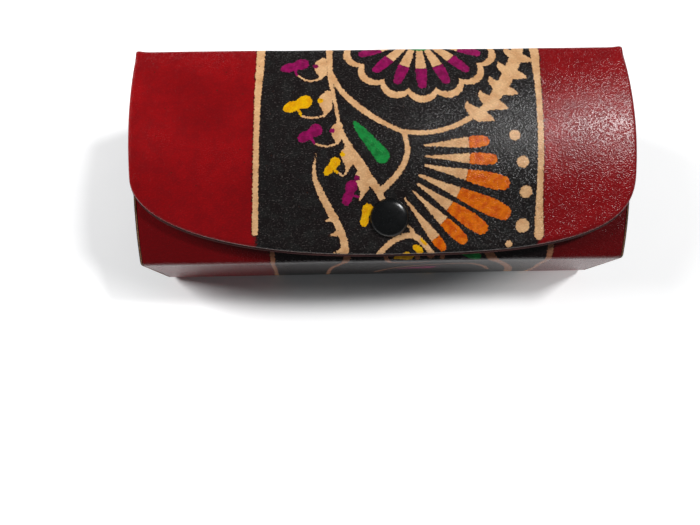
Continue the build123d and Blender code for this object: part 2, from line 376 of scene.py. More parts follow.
def drop_and_fan(batik):
    """The green drop in its loop, the fan of petals round the snap, and the row of dots."""
    batik.stroke("green", [(-9.4, 27.0, 0.1), (-8.2, 28.8, 1.1), (-6.2, 31.4, 1.6), (-3.2, 35.0, 2.0),
                           (-0.8, 38.0, 2.35)])
    batik.stroke("tan", [(6.0, 30.9, 0.7), (7.0, 34.4, 0.8), (7.0, 37.5, 0.85), (5.7, 41.0, 0.9),
                         (3.0, 44.8, 0.9), (-1.0, 48.6, 1.0)])
    fan = [((12.4, 35.0), (31.2, 33.8), 1.85, 0.74), ((12.9, 38.4), (33.6, 39.5), 1.85, 0.66),
           ((12.7, 41.2), (37.2, 47.0), 2.45, 0.53), ((10.9, 44.2), (37.6, 56.2), 2.75, 0.46),
           ((10.4, 46.9), (30.6, 60.9), 2.5, 0.5), ((9.0, 49.2), (24.6, 64.4), 1.95, 0.62),
           ((6.2, 51.3), (18.2, 66.8), 1.55, 0.82)]
    for start, end, half_width, share in fan:
        two_colours(batik, "orange", start, end, half_width, share)
    for x, q, radius in ((40.8, 32.1, 1.75), (43.2, 40.4, 1.85), (44.4, 49.7, 1.95), (43.7, 60.4, 2.2),
                         (39.5, 66.2, 1.15)):
        batik.dot("tan", x, q, radius)


def lower_edge(batik):
    """The thorny stem at the lower left, and the arch with yellow petals at the flap's edge."""
    batik.stroke("tan", [(-21.4, 37.2, 0.1), (-22.0, 43.2, 0.6), (-20.6, 48, 1.0), (-17.6, 54.4, 1.15),
                         (-15.6, 58, 1.1), (-13.8, 62, 1.15), (-12.9, 66.2, 1.25), (-13.8, 73, 1.5)])
    for x, q in ((-15.8, 57.0), (-14.4, 61.6), (-13.2, 67.2)):
        thorn(batik, x, q, x - 3.2, q + 1.0, 1.1, 0.3)
    batik.stroke("tan", [(-4.4, 72, 0.9), (-1.6, 68.4, 0.9), (1.5, 65.4, 0.85), (4.7, 63.6, 0.85),
                         (7.9, 62.9, 0.85), (10.1, 63.6, 0.9), (12.6, 66.0, 0.85), (16.4, 70.6, 0.85)])
    thorn(batik, 8.9, 63.0, 6.9, 59.4, 1.0, 0.4)
    batik.strokes("yellow", [(9.7, 66.7, 0.9), (10.4, 67.3, 1.15), (11.1, 68.0, 0.95)],
                  [(5.9, 69.7, 0.9), (6.9, 69.3, 1.1), (7.9, 69.7, 0.8)],
                  [(11.4, 64.2, 0.4), (12.8, 65.8, 0.5)])


def vine(batik, x, start, end, reach, phase):
    """A wavy vine with leaves, buds and dots, along the strip from start to end."""
    bends = round(abs(end - start) / 11)
    step = (end - start) / bends
    points = [(x + reach * math.cos(math.pi * number + phase), start + number * step,
               1.1 + 0.3 * math.sin(1.7 * number)) for number in range(bends + 1)]
    batik.stroke("tan", points)
    for number, (bend_x, q, _) in enumerate(points[:-1]):
        side = 1 if bend_x > x else -1
        middle = (bend_x - 1.6 * side, q + 0.5 * step)
        tip = (middle[0] + 8.5 * side, middle[1] + 0.5 * step)
        two_colours(batik, "magenta" if number % 2 else "orange", middle, tip, 2.0, 0.45)
        leaf = petal((bend_x - 2.4 * side, q), (bend_x - 11 * side, q + 0.34 * step), 1.9)
        batik.stroke("green", leaf)
        batik.dot("tan", bend_x + 3.6 * side, q - 0.3 * step, 0.9)
        batik.dot("yellow", bend_x + 6.8 * side, q - 0.28 * step, 1.5)


def body_pattern(batik):
    """Front, bottom wall and back. Here q is 0 on the crease, and below zero on the front."""
    left = [(-37, -70, 0.8), (-37, -30, 0.8), (-36.6, -4, 0.75), (-36.8, 2, 0.65), (-37.4, 12, 0.65),
            (-38.6, 26, 0.7), (-40, 50, 1.2), (-40.6, 90, 1.2)]
    right = [(52, -70, 1.0), (55.5, -30, 1.0), (55.2, -5, 1.0), (55, 2, 0.9), (55.6, 10, 0.9),
             (57, 26, 0.9), (52, 50, 1.2), (48, 90, 1.2)]
    batik.band(left, right)
    batik.strokes("tan", left, right)

    # Scrolls over the crease and down the bottom wall
    batik.strokes(
        "tan",
        [(-10.6, -12, 1.2), (-11, -6, 1.2), (-12.2, -1, 1.1), (-15, 5, 0.8), (-18, 14, 0.7),
         (-19.4, 28, 0.7)],
        [(0.3, -9, 0.7), (0.4, -3, 0.7), (1.4, 0, 0.7), (3.4, 2, 0.6), (10, 2.6, 0.5), (15, 1.2, 0.4)],
        [(-1.5, 22, 0.6), (3.8, 14, 0.6), (12, 9, 0.5), (22, 6.4, 0.5), (29.6, 6, 0.7), (36, 12, 0.7),
         (40, 20, 0.6)],
        [(11.4, -9, 0.8), (11.2, -1, 0.8)],
        [(19.6, -9, 0.8), (19.4, -1, 0.8)],
        [(32, -8, 1.3), (35, -2, 1.4), (41, 6, 1.2), (46.5, 16, 1.3), (49.5, 26, 1.4)],
    )
    batik.stroke("yellow", petal((3.2, -0.9), (9.0, -2.0), 1.5))
    batik.stroke("green", petal((24.8, -2.4), (31.2, -1.0), 1.3))
    batik.stroke("magenta", petal((6, 15), (18, 13), 2.2))
    batik.ring("tan", 15.6, -2.0, 1.0, 0.4)

    # Vines on the hidden front and on the back, between rows of dots
    vine(batik, 5, -76, -17, 8, 0.4)
    vine(batik, 5, 33, 96, 8, 0.0)
    for q in (*range(-70, -14, 9), *range(36, 98, 9)):
        batik.dot("tan", -29, q, 1.5)
        batik.dot("tan", 38, q, 1.5)


# ---- Meshes


def waves(x, q):
    """Slow unevenness of glued leather, in millimetres, from minus one to one."""
    return (
        0.45 * np.sin(x / 9.3 + 0.8 * np.sin(q / 11.0) + 0.4)
        + 0.35 * np.sin(q / 7.1 + 0.7 * np.sin(x / 13.0) + 1.9)
        + 0.20 * np.sin(x / 3.7 + q / 5.3)
    )


def rise(value, start, reach):
    """From zero to one as a value goes from start over reach."""
    return np.clip((value - start) / reach, 0, 1)


def uneven_columns(half, rim):
    """Places across a strip: fine over the patterned band, coarse beside it, and close at the rims."""
    edge = rim * (1 - np.sin(np.linspace(0, math.pi / 2, 5)))
    middle = np.concatenate([
        np.arange(-half + rim, BAND_LOW, BODY_COARSE)[1:],
        np.arange(BAND_LOW, BAND_HIGH, BODY_FINE),
        np.arange(BAND_HIGH, half - rim, BODY_COARSE)[:-1],
    ])
    return np.concatenate([-half + edge[::-1], middle, half - edge])


def rim_drop(inside, rim):
    """How far a rounded edge falls at a distance inside the rim."""
    near = np.clip(rim - inside, 0, rim)
    return rim - np.sqrt(np.maximum(rim**2 - near**2, 0))


class Sheet:
    """Grows a closed sheet: an outer grid, an inner grid with fewer rows, and walls between them."""

    def __init__(self, name):
        self.name = name
        self.points = []
        self.faces = []
        self.slots = []

    def grid(self, points, slot):
        """Add a grid of points, rows by columns. Returns the index of each."""
        rows, columns = points.shape[:2]
        first = sum(len(block) for block in self.points)
        self.points.append(points.reshape(-1, 3))
        index = first + np.arange(rows * columns).reshape(rows, columns)
        quads = np.stack([index[:-1, :-1], index[:-1, 1:], index[1:, 1:], index[1:, :-1]], axis=-1)
        self.add_faces(quads.reshape(-1, 4), slot)
        return index

    def add_faces(self, faces, slot):
        self.faces.extend([int(i) for i in face] for face in faces)
        self.slots.extend([slot] * len(faces))

    def wall(self, outer, inner, slot, skip=1):
        """Close the gap between two edges. The inner edge has one point for each skip outer points."""
        faces = []
        for number in range(len(inner) - 1):
            start = number * skip
            stop = min(start + skip, len(outer) - 1)
            faces.append([*outer[start : stop + 1], inner[number + 1], inner[number]])
        self.add_faces(faces, slot)

    def build(self, materials):
        mesh = bpy.data.meshes.new(self.name)
        mesh.from_pydata((np.concatenate(self.points) * MM).tolist(), [], self.faces)
        for material in materials:
            mesh.materials.append(material)
        mesh.polygons.foreach_set("material_index", self.slots)
        mesh.polygons.foreach_set("use_smooth", [True] * len(self.faces))
        mesh.update()
        piece = bpy.data.objects.new(self.name, mesh)
        bpy.context.scene.collection.objects.link(piece)
        return piece


def set_place(piece, place):
    """Each point's place on the flat hide."""
    attribute = piece.data.attributes.new("hide", "FLOAT_VECTOR", "POINT")
    flat = np.column_stack([place, np.zeros(len(place))])
    attribute.data.foreach_set("vector", flat.astype(np.float32).ravel())


def sharpen(piece, degrees):
    """Shade smooth, but keep the corners crisp."""
    piece.data.set_sharp_from_angle(angle=math.radians(degrees))


def remesh(piece, change=None):
    """Change a piece through bmesh, and face it outwards."""
    mesh = bmesh.new()
    mesh.from_mesh(piece.data)
    if change is not None:
        change(mesh)
    bmesh.ops.recalc_face_normals(mesh, faces=mesh.faces)
    mesh.to_mesh(piece.data)
    mesh.free()


def join_doubles(mesh):
    """Join the points that a closed ring has twice."""
    bmesh.ops.remove_doubles(mesh, verts=mesh.verts, dist=1e-7)


def drop_empty_faces(mesh):
    """Dissolve the empty faces that a profile on the axis leaves."""
    bmesh.ops.dissolve_degenerate(mesh, dist=1e-7, edges=mesh.edges)


def loft(name, rings, materials, hide=None, slots=None, closed=True):
    """A mesh through rings of points.

    hide gives each point its place on the hide. slots gives each band its material. closed fills the first
    and the last ring.
    """
    grid = np.array(rings, float)
    grower = Sheet(name)
    index = grower.grid(np.concatenate([grid, grid[:, :1]], axis=1), 0)
    if slots is not None:
        grower.slots = np.repeat(slots, grid.shape[1]).tolist()
    if closed:
        grower.add_faces([list(index[0, :-1]), list(index[-1, :-1])], 0)
    piece = grower.build(materials)
    remesh(piece, join_doubles)
    if hide is not None:
        set_place(piece, hide(np.array([vertex.co for vertex in piece.data.vertices]) / MM))
    return piece


def settle(piece, body, slot, *nodes):
    """Fix a piece to its body, in place of its CAD nodes."""
    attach(piece, body)
    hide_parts(*nodes)


# ---- Leather sheets

RIM = 0.35
INNER_SKIP = 3
WAVE_HEIGHT = 0.11
ROLL_WIDTH = 1.5
ROLL_DROP = 0.5
WRAP_LAP = 0.3

# Ears where the flap's sides meet the fold: height, half length along q, and where they start in x
EAR_HEIGHT, EAR_LENGTH, EAR_START = 0.32, 2.2, 74.5

# The patterned band in x, and the meshes' steps over it and beside it
BAND_LOW, BAND_HIGH = -44.0, 53.0
FLAP_FINE, FLAP_COARSE = 0.42, 0.9
BODY_FINE, BODY_COARSE = 0.6, 1.3


class Path:
    """A path seen from the end of the case, with the place on the hide at each point."""

    def __init__(self, points, start=None, end=None):
        self.points = points
        self.normals = outward(points)
        run = lengths(points)
        self.q = run + start if start is not None else run - run[-1] + end

    def at(self, q):
        """y and z at q, and the outward normal's y and z."""
        return [np.interp(q, self.q, values) for values in (*self.points.T, *self.normals.T)]


def sheet_points(path, x, q, lift):
    """Points of a sheet at x and q, raised by lift from the path."""
    y, z, normal_y, normal_z = path.at(q)
    return np.stack([x, y + lift * normal_y, z + lift * normal_z], axis=-1)


def sheet(name, path, x, q, lift, thickness, materials, edge_and_glint_rows=0):
    """A closed sheet: its shown face at x and q, raised by lift, and its hidden face under it.

    The last rows of the shown face, as many as the last argument asks, get the pale cut-edge material: the
    edge's colour and a painted highlight along the rim.
    """
    grower = Sheet(name)
    rows = list(range(0, len(q) - 1, INNER_SKIP)) + [len(q) - 1]
    outer = grower.grid(sheet_points(path, x, q, lift), 0)
    if edge_and_glint_rows:
        cut = edge_and_glint_rows * (outer.shape[1] - 1)
        grower.slots[-cut:] = [1] * cut
    inner = grower.grid(sheet_points(path, x[rows], q[rows], -thickness), 1)
    for column in (0, -1):
        grower.wall(outer[:, column], inner[:, column], 1, INNER_SKIP)
    for row in (0, -1):
        grower.wall(outer[row], inner[row], 1)
    piece = grower.build(materials)
    hide = [np.stack(pair, axis=-1).reshape(-1, 2) for pair in ((x, q), (x[rows], q[rows]))]
    set_place(piece, np.concatenate(hide))
    remesh(piece)
    return piece


def paint(piece, pattern=None, origin=0.0):
    """Store the distance to each dye's edge at every point. origin is where the pattern's own q is 0."""
    values = np.zeros(len(piece.data.vertices) * 3, np.float32)
    piece.data.attributes["hide"].data.foreach_get("vector", values)
    batik = Batik(values.reshape(-1, 3)[:, :2].astype(float) - (0, origin))
    if pattern is not None:
        pattern(batik)
    for dye in DYES:
        attribute = piece.data.attributes.new(dye, "FLOAT", "POINT")
        attribute.data.foreach_set("value", batik.dye[dye].astype(np.float32))


def dent(x, y, depth, radius):
    """A shallow dent pressed by the snap."""
    return -depth * np.exp(-(((x - SNAP_X) ** 2 + (y - SNAP_Y) ** 2) / radius**2) ** 2)


def top_fold():
    """The fillet between the top panel and the arch: its centre, and where it meets the arch in degrees."""
    y = HALF_DEPTH - FRONT_FOLD_RADIUS
    rise = math.sqrt((ARCH_RADIUS - FRONT_FOLD_RADIUS) ** 2 - (y - ARCH_CENTRE[0]) ** 2)
    return (y, ARCH_CENTRE[1] + rise), math.degrees(math.atan2(rise, y - ARCH_CENTRE[0]))


FOLD_CENTRE, FOLD_REACH = top_fold()
STEP = 0.3


def flap_path():
    """From the seam on the top panel, over the fold, to past the flap's edge. q is 0 on the fold."""
    rise = line((HALF_DEPTH, TOP_SEAM), (HALF_DEPTH, FOLD_CENTRE[1]), STEP)
    fold = bow(FOLD_CENTRE, FRONT_FOLD_RADIUS, 0, FOLD_REACH, STEP / 3)
    points = join(rise, fold, arch_run(0, FOLD_REACH, STEP))
    half_fold = FRONT_FOLD_RADIUS * math.radians(FOLD_REACH) / 2
    return Path(points, start=TOP_SEAM - FOLD_CENTRE[1] - half_fold)


def rear_path(end):
    """From the seam on the back, round the rear fold, to the seam on the top panel."""
    r = REAR_FOLD_RADIUS
    points = join(
        line((BACK_SEAM, 0), (HALF_DEPTH - r, 0), STEP),
        bow((HALF_DEPTH - r, r), r, 270, 360, STEP / 3),
        line((HALF_DEPTH, r), (HALF_DEPTH, TOP_SEAM), STEP),
    )
    return Path(points, end=end)


def mouth_turn():
    """The leather's turn at the mouth: radius, y, heights of its lower and upper bow, reach in degrees."""
    r = LEATHER + 0.1
    y = MOUTH - r
    across = y - FRONT_CENTRE[0]
    low = math.sqrt((FRONT_RADIUS - WALL + r) ** 2 - across**2)
    high = math.sqrt((FRONT_RADIUS - r) ** 2 - across**2)
    return r, y, FRONT_CENTRE[1] + low, FRONT_CENTRE[1] + high, math.degrees(math.atan2(high, across))


def front_after(reach, step):
    """The body's outline from the end of the turn at the mouth."""
    front = front_run(0, step)
    return front[front[:, 0] < on_circle(FRONT_CENTRE, FRONT_RADIUS, reach)[0] - step / 2]


def wrap_path(end):
    """From the leather turned in at the mouth, over the front, to the seam on the back."""
    r, y, low, high, reach = mouth_turn()
    lip = join(bow((y, low), r, reach - 180, 0, STEP / 3), bow((y, high), r, 0, reach, STEP / 3))
    return Path(join(lip, front_after(reach, STEP)), end=end)


def flap_power(x):
    """How square the flap's lower corner is on the side of x."""
    return np.where(x < 0, FLAP_LEFT_POWER, FLAP_RIGHT_POWER)


def flap_end(path, x):
    """q of the flap's D-shaped edge at x."""
    power = flap_power(x)
    reach = np.clip(1 - (np.abs(x) / FLAP_HALF) ** power, 0, 1) ** (1 / power)
    y = FLAP_CORNER + (FLAP_EDGE - FLAP_CORNER) * reach
    low = path.points[:, 0] < 0
    return np.interp(-y, -path.points[low, 0], path.q[low])


def inside_flap(x, y):
    """Rough distance inside the flap's outline in plan, exact near the edge."""
    power = flap_power(x)
    drop = FLAP_CORNER - FLAP_EDGE
    across = np.abs(x) / FLAP_HALF
    down = np.maximum(FLAP_CORNER - y, 0) / drop
    slope_x = power * across ** (power - 1) / FLAP_HALF
    slope_y = power * down ** (power - 1) / drop
    slope = np.maximum(np.hypot(slope_x, slope_y), 1e-4)
    curved = (1 - across**power - down**power) / slope
    return np.where(y > FLAP_CORNER, FLAP_HALF - np.abs(x), curved)


def flap_grid(path, columns, step, start, low):
    """x and q for the flap: even rows down to low, then rows that stretch to the D-shaped edge."""
    end = flap_end(path, columns)
    straight = np.arange(start, low, step)
    count = round((end.max() - RIM - low) / step)
    share = np.linspace(0, 1, count)[:, None]
    stretched = low + share * (end - RIM - low)
    turn = np.linspace(0, math.pi / 2, 5)[1:, None]
    rim = end - RIM * (1 - np.sin(turn))
    q = np.concatenate([np.repeat(straight[:, None], len(columns), axis=1), stretched, rim])
    x = np.repeat(columns[None, :], len(q), axis=0)
    return x, q


def corner_columns(limit, power):
    """Columns from limit to the flap's side, close together where its outline turns the corner."""
    last = math.acos((limit / FLAP_HALF) ** (power / 2))
    return FLAP_HALF * np.cos(np.linspace(last, 0, 22)) ** (2 / power)


def flap_columns(fine, coarse):
    """Columns for the flap: fine over the patterned band, and close together at its corners."""
    limit = 68.0
    left = np.concatenate([np.arange(-BAND_LOW, limit, coarse), corner_columns(limit, FLAP_LEFT_POWER)])
    right = np.concatenate([np.arange(BAND_HIGH, limit, coarse), corner_columns(limit, FLAP_RIGHT_POWER)])
    middle = np.arange(BAND_LOW, BAND_HIGH, fine)[1:]
    return np.unique(np.round(np.concatenate([-left, middle, right]), 5))


def blend_front(piece):
    """Bake a piece's placement into its mesh. It is not bent over the front fold."""
    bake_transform(piece)


def blend_rear(piece):
    """Bake a piece's placement into its mesh. It is not bent over the rear fold."""
    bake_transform(piece)


def flap_leather(materials):
    """The leather of the top panel and the flap, with small ears at the ends of the fold."""
    path = flap_path()
    x, q = flap_grid(path, flap_columns(FLAP_FINE, FLAP_COARSE), FLAP_FINE, path.q[0], 18.0)
    y = path.at(q)[0]
    inside = inside_flap(x, y)
    ears = EAR_HEIGHT * np.exp(-((q / EAR_LENGTH) ** 2)) * rise(np.abs(x), EAR_START, 4) ** 2
    rolled = ROLL_DROP * np.clip(1 - inside / ROLL_WIDTH, 0, 1) ** 2 * rise(q, -2, 6)
    lift = WAVE_HEIGHT * waves(x, q) + ears - rim_drop(inside, RIM) - rolled + dent(x, y, 0.25, 7.5)
    # The two outer rows of the rounded rim get the pale edge material: a painted highlight along the flap's
    # edge.
    piece = sheet("flap_cover", path, x, q, lift, LEATHER, materials, edge_and_glint_rows=2)
    paint(piece, flap_pattern)
    blend_front(piece)
    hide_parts("top_leather", "flap_leather")
    return path


def strip_grid(path, columns, step):
    q = np.unique(np.concatenate([np.arange(path.q[0], path.q[-1], step), path.q[-1:]]))
    x = np.repeat(columns[None, :], len(q), axis=0)
    return x, np.repeat(q[:, None], len(columns), axis=1)


def rear_leather(materials, end):
    """The leather round the rear fold, which widens from the body to the flap."""
    path = rear_path(end)
    x, q = strip_grid(path, uneven_columns(WRAP_HALF, RIM), 0.5)
    y, z = path.at(q)[:2]
    wider = rise(y - MOUTH + z, 0, 4)
    x = x * (1 + (FLAP_HALF / WRAP_HALF - 1) * wider**2 * (3 - 2 * wider))
    inside = np.abs(x).max(1)[:, None] - np.abs(x)
    lift = WAVE_HEIGHT * waves(x, q) * rise(z, 0, 6) - rim_drop(inside, RIM)
    piece = sheet("rear_fold_cover", path, x, q, lift, LEATHER, materials)
    paint(piece, flap_pattern)
    blend_rear(piece)
    return path


def wrap_leather(materials, end):
    """Front, bottom wall and back of the body, with the leather turned in at the mouth."""
    path = wrap_path(end)
    half, rim, front_height = WRAP_HALF + WRAP_LAP, 0.3, 31
    x, q = strip_grid(path, uneven_columns(half, rim), 0.55)
    y, z = path.at(q)[:2]
    calm = rise(z, 0, 5) * rise(MOUTH - y, 0, 8)
    lift = WAVE_HEIGHT * waves(x, q) * calm - rim_drop(half - np.abs(x), rim)
    lift += np.where(z > front_height, dent(x, y, 0.3, 7.0), 0)
    piece = sheet("body_cover", path, x, q, lift, LEATHER, materials)
    wall = (path.points[:, 0] < -HALF_DEPTH + 0.01) & (path.points[:, 1] > 20)
    paint(piece, body_pattern, path.q[np.flatnonzero(wall)[0]] - 1)
    settle(piece, "case_body", "patterned_leather", "wrap_leather")


def end_outline():
    """The outline of an end wall, as a closed run of (y, z)."""
    r, y, _, top, reach = mouth_turn()
    low = 0.8
    return join(
        bow((y, top), r, 0, reach, 0.2),
        front_after(reach, 0.6),
        line((BACK_SEAM + 1, 0), (MOUTH - low, 0), 1.0),
        bow((MOUTH - low, low), low, 270, 360, 0.2),
        line((MOUTH, low + 0.5), (MOUTH, top - 0.5), 1.0),
    )


def end_ring(x, ring):
    """An outline of (y, z) stood at x."""
    return np.column_stack([np.full(len(ring), x), ring])


def end_panel(side, name, node, materials):
    """The leather of an end wall. Its cut edge shows round the case, beside the wrap."""
    outline = end_outline()
    gaps = np.roll(outline, -1, axis=0) - np.roll(outline, 1, axis=0)
    gaps /= np.linalg.norm(gaps, axis=1)[:, None]
    normals = np.stack([gaps[:, 1], -gaps[:, 0]], axis=1)
    rebate = WRAP_HALF + WRAP_LAP + GLUE
    # Each ring: how far out along x, how far inside the outline, and whether the band after it is cut edge
    rings = [(WRAP_HALF + GLUE, 1.4, 1), (rebate, 1.3, 0), (rebate + 0.02, 0.3, 0), (rebate + 0.1, 0.1, 1),
             (rebate + 0.25, 0.04, 1), (rebate + 0.4, 0.05, 0), (BODY_HALF - 0.36, 0.1, 0),
             (BODY_HALF - 0.2, 0.2, 0), (BODY_HALF - 0.07, 0.38, 0), (BODY_HALF, 0.65, 0),
             (BODY_HALF + 0.02, 1.1, 0), (BODY_HALF - 0.02, 1.9, 0)]
    piece = loft(
        name,
        [end_ring(side * x, outline - normals * inset) for x, inset, _ in rings],
        materials,
        hide=lambda place: place[:, 1:] + (side * 90, 0),
        slots=[cut for _, _, cut in rings[:-1]],
    )
    paint(piece)
    sharpen(piece, 50)
    lip = end_lip(side, name, materials)
    remesh(piece, lambda mesh: mesh.from_mesh(lip.data))
    bpy.data.objects.remove(lip)
    settle(piece, "case_body", "plain_leather", node)


def rounded_box(low, high, radius, steps=4):
    """The outline of a rectangle with rounded corners."""
    corners_at = [(high[0] - radius, high[1] - radius, 0), (low[0] + radius, high[1] - radius, 90),
                  (low[0] + radius, low[1] + radius, 180), (high[0] - radius, low[1] + radius, 270)]
    points = []
    for x, y, start in corners_at:
        points.extend(on_circle((x, y), radius, start + 90 * step / steps) for step in range(steps + 1))
    return np.array(points)


def end_lip(side, name, materials):
    """The end wall's leather turned in over the mouth edge: an upright bar with soft ends."""
    reach = sorted((side * END_LOW.x, side * (BODY_HALF - 0.3)))
    outline = rounded_box((reach[0], MOUTH - TURN_IN), (reach[1], MOUTH + 0.02), 0.55)
    middle = outline.mean(0)
    across = MOUTH - TURN_IN - FRONT_CENTRE[0]
    low = WALL - 0.3
    high = FRONT_CENTRE[1] + math.sqrt((FRONT_RADIUS - WALL) ** 2 - across**2) + 0.6
    ends = ((0, 0.8), (0.15, 0.96), (0.5, 1))
    heights = [(low + inset, scale) for inset, scale in ends]
    heights += [(high - inset, scale) for inset, scale in reversed(ends)]
    rings = []
    for z, scale in heights:
        rings.append(np.column_stack([middle + (outline - middle) * scale, np.full(len(outline), z)]))
    lip = loft(name + "_lip", rings, materials, hide=lambda place: place[:, [0, 2]])
    paint(lip)
    sharpen(lip, 50)
    return lip


# ---- Lining


def cloth_waves(x, q):
    """The lining's unevenness has shorter waves than the leather's."""
    return waves(x * 1.7, q * 1.7)


def pocket_lining(cloth):
    """The lining from the mouth round the pocket to the back seam, facing into the pocket."""
    path = Path(front_run(WALL, 0.6)[::-1], start=0)
    x, q = strip_grid(path, np.linspace(-END_LINING_LOW.x, END_LINING_LOW.x, 150), 0.9)
    piece = sheet("pocket_cloth", path, x, q, 0.05 * cloth_waves(x, q), LINING, [cloth, cloth])
    settle(piece, "case_body", "lining", "pocket_lining")


def end_lining(side, name, node, cloth):
    """The lining of an end wall, with a soft edge."""
    low = WALL + GLUE
    outline = join(front_run(low, 1.0), line((BACK_SEAM + 1, low), (MOUTH - TURN_IN, low), 1.0))
    middle = outline.mean(0)
    inner = END_LINING_LOW.x
    rings = []
    for x, scale in ((END_LINING_HIGH.x, 1.0), (inner + 0.15, 1.0), (inner + 0.03, 0.996), (inner, 0.985),
                     (inner, 0.9), (inner, 0.5)):
        rings.append(end_ring(side * x, middle + (outline - middle) * scale))
    piece = loft(name, rings, [cloth], hide=lambda place: place[:, 1:])
    sharpen(piece, 50)
    settle(piece, "case_body", "lining", node)


def rear_lining(cloth):
    """The lining over the rear fold, tucked into the groove between the boards."""
    groove = smooth([
        (BACK_SEAM, WALL), (22, WALL), (26, WALL), (29.4, WALL), (30.4, 3.05), (30.9, 2.3), (31.7, 1.85),
        (32.3, 2.2), (32.2, 2.9), (31.5, 3.5), (31.0, 4.2), (30.9, 5.4), (30.9, 10), (30.9, 15),
        (30.9, TOP_SEAM),
    ], 10)
    path = Path(groove[::-1], end=0)
    x, q = strip_grid(path, np.linspace(-END_LINING_LOW.x, END_LINING_LOW.x, 120), 0.35)
    wider = rise(path.at(q)[1], 4, 3)
    x = x * (1 + (FLAP_HALF / END_LINING_LOW.x - 1) * wider)
    piece = sheet("rear_fold_cloth", path, x, q, 0.04 * cloth_waves(x, q), LINING, [cloth, cloth])
    blend_rear(piece)


def flap_lining(cloth):
    """The lining of the top panel and the flap, closed down to the leather round the edge."""
    panel_y = HALF_DEPTH - WALL
    arch = arch_run(FLAP_WALL, angle_at(ARCH_CENTRE, ARCH_RADIUS - FLAP_WALL, 29.4), 0.5)
    turn = smooth([(panel_y, TOP_SEAM), (panel_y, 28), (panel_y, 36), (panel_y, 40.2), (31.2, 41.3),
                   (31.9, 42.0), (31.7, 42.9), (30.9, 43.0), (30.1, 42.8), arch[0]], 8)
    path = Path(join(turn, arch), start=0)
    x, q = flap_grid(path, flap_columns(1.0, 1.0), 0.9, 0.0, 42.0)
    y = path.at(q)[0]
    near = np.clip(1 - inside_flap(x, y) / 2.2, 0, 1)
    lift = -0.05 * cloth_waves(x, q) + 0.55 * near**2 * (y < 25)
    piece = sheet("flap_cloth", path, x, q, lift, LEATHER + GLUE - FLAP_WALL, [cloth, cloth])
    blend_front(piece)
    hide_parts("top_lining", "flap_lining")


# ---- Snap


def snap_frame():
    """Centre of the snap on the flap's outer face, and its axis, in millimetres."""
    drop = math.sqrt(SWEEP_RADIUS**2 - (SNAP_Y - SWEEP_CENTRE[0]) ** 2)
    centre = Vector((SNAP_X, SNAP_Y, SWEEP_CENTRE[1] - drop))
    return centre, Vector((0, (SWEEP_CENTRE[0] - SNAP_Y) / SWEEP_RADIUS, drop / SWEEP_RADIUS))


def lathe(name, node, body, slot, profile, material, arc=360):
    """Turn a closed profile of (radius, height) round the snap's axis."""
    centre, axis = snap_frame()
    across = Vector((1, 0, 0))
    beside = axis.cross(across)
    rings = []
    for turn in np.linspace(0, math.radians(arc), 97):
        out = across * math.cos(turn) + beside * math.sin(turn)
        rings.append([centre + out * radius + axis * height for radius, height in profile])
    piece = loft(name, rings, [material], closed=arc < 360)
    remesh(piece, drop_empty_faces)
    sharpen(piece, 38)
    settle(piece, body, slot, node)


def round_off(points, radius, steps=4):
    """Round the corners of a profile. Points on the axis stay."""
    rounded = []
    for number, corner in enumerate(points):
        corner = np.array(corner, float)
        if corner[0] < 1e-6:
            rounded.append(tuple(corner))
            continue
        sides = [np.array(points[near % len(points)]) - corner for near in (number - 1, number + 1)]
        reach = min(radius, *(0.45 * np.linalg.norm(side) for side in sides))
        start, end = (corner + side / np.linalg.norm(side) * reach for side in sides)
        for t in np.linspace(0, 1, steps + 1):
            rounded.append(tuple((1 - t) ** 2 * start + 2 * t * (1 - t) * corner + t**2 * end))
    return rounded


def snap(enamel, steel):
    """The cap, its socket and spring ring on the flap, and the stud and post on the front."""
    dome = [(0, 1.9), (1.2, 1.885), (2.4, 1.83), (3.5, 1.73), (4.4, 1.6), (5.0, 1.42), (5.5, 1.14),
            (5.85, 0.8), (6.08, 0.4), (6.2, 0.02)]
    shank = round_off([(6.05, -0.12), (1.7, -0.12), (1.7, -1.9), (2.4, -1.95), (2.3, -2.2)], 0.08)
    lathe("snap_cap_shell", "snap_cap", "flap_front", "black_enamel", dome + shank + [(0, -2.2)], enamel)
    socket = round_off([(1.75, -1.25), (5.1, -1.25), (5.6, -1.6), (5.6, -3.0), (5.0, -3.6), (3.35, -3.6),
                        (3.35, -3.2), (4.2, -3.2), (4.2, -2.5), (3.35, -2.5), (3.35, -1.9),
                        (1.75, -1.9)], 0.22)
    lathe("snap_socket_shell", "snap_socket", "flap_front", "steel", socket, steel)
    turns = np.linspace(0, 2 * math.pi, 17)[:-1]
    ring = [(3.75 + 0.3 * math.cos(turn), -2.85 + 0.3 * math.sin(turn)) for turn in turns]
    lathe("snap_spring_ring", "snap_spring", "flap_front", "steel", ring, steel, arc=325)
    stud = round_off([(1.8, -4.25), (4.8, -4.25), (4.75, -3.97), (3.3, -3.8), (2.75, -3.4), (3.1, -2.85),
                      (2.9, -2.5), (2.3, -2.35), (0, -2.35), (0, -2.7), (1.8, -2.7)], 0.18)
    lathe("snap_stud_shell", "snap_stud", "case_body", "steel", stud, steel)
    post = round_off([(0, -2.8), (1.7, -2.8), (1.7, -7.95), (4.4, -7.95), (4.2, -8.3), (0, -8.4)], 0.15)
    lathe("snap_post_rivet", "snap_post", "case_body", "steel", post, steel)


# ---- Materials


def colour(red, green, blue):
    """A linear colour from sRGB values out of 255."""
    parts = [value / 255 for value in (red, green, blue)]
    return [part / 12.92 if part <= 0.04045 else ((part + 0.055) / 1.055) ** 2.4 for part in parts] + [1]


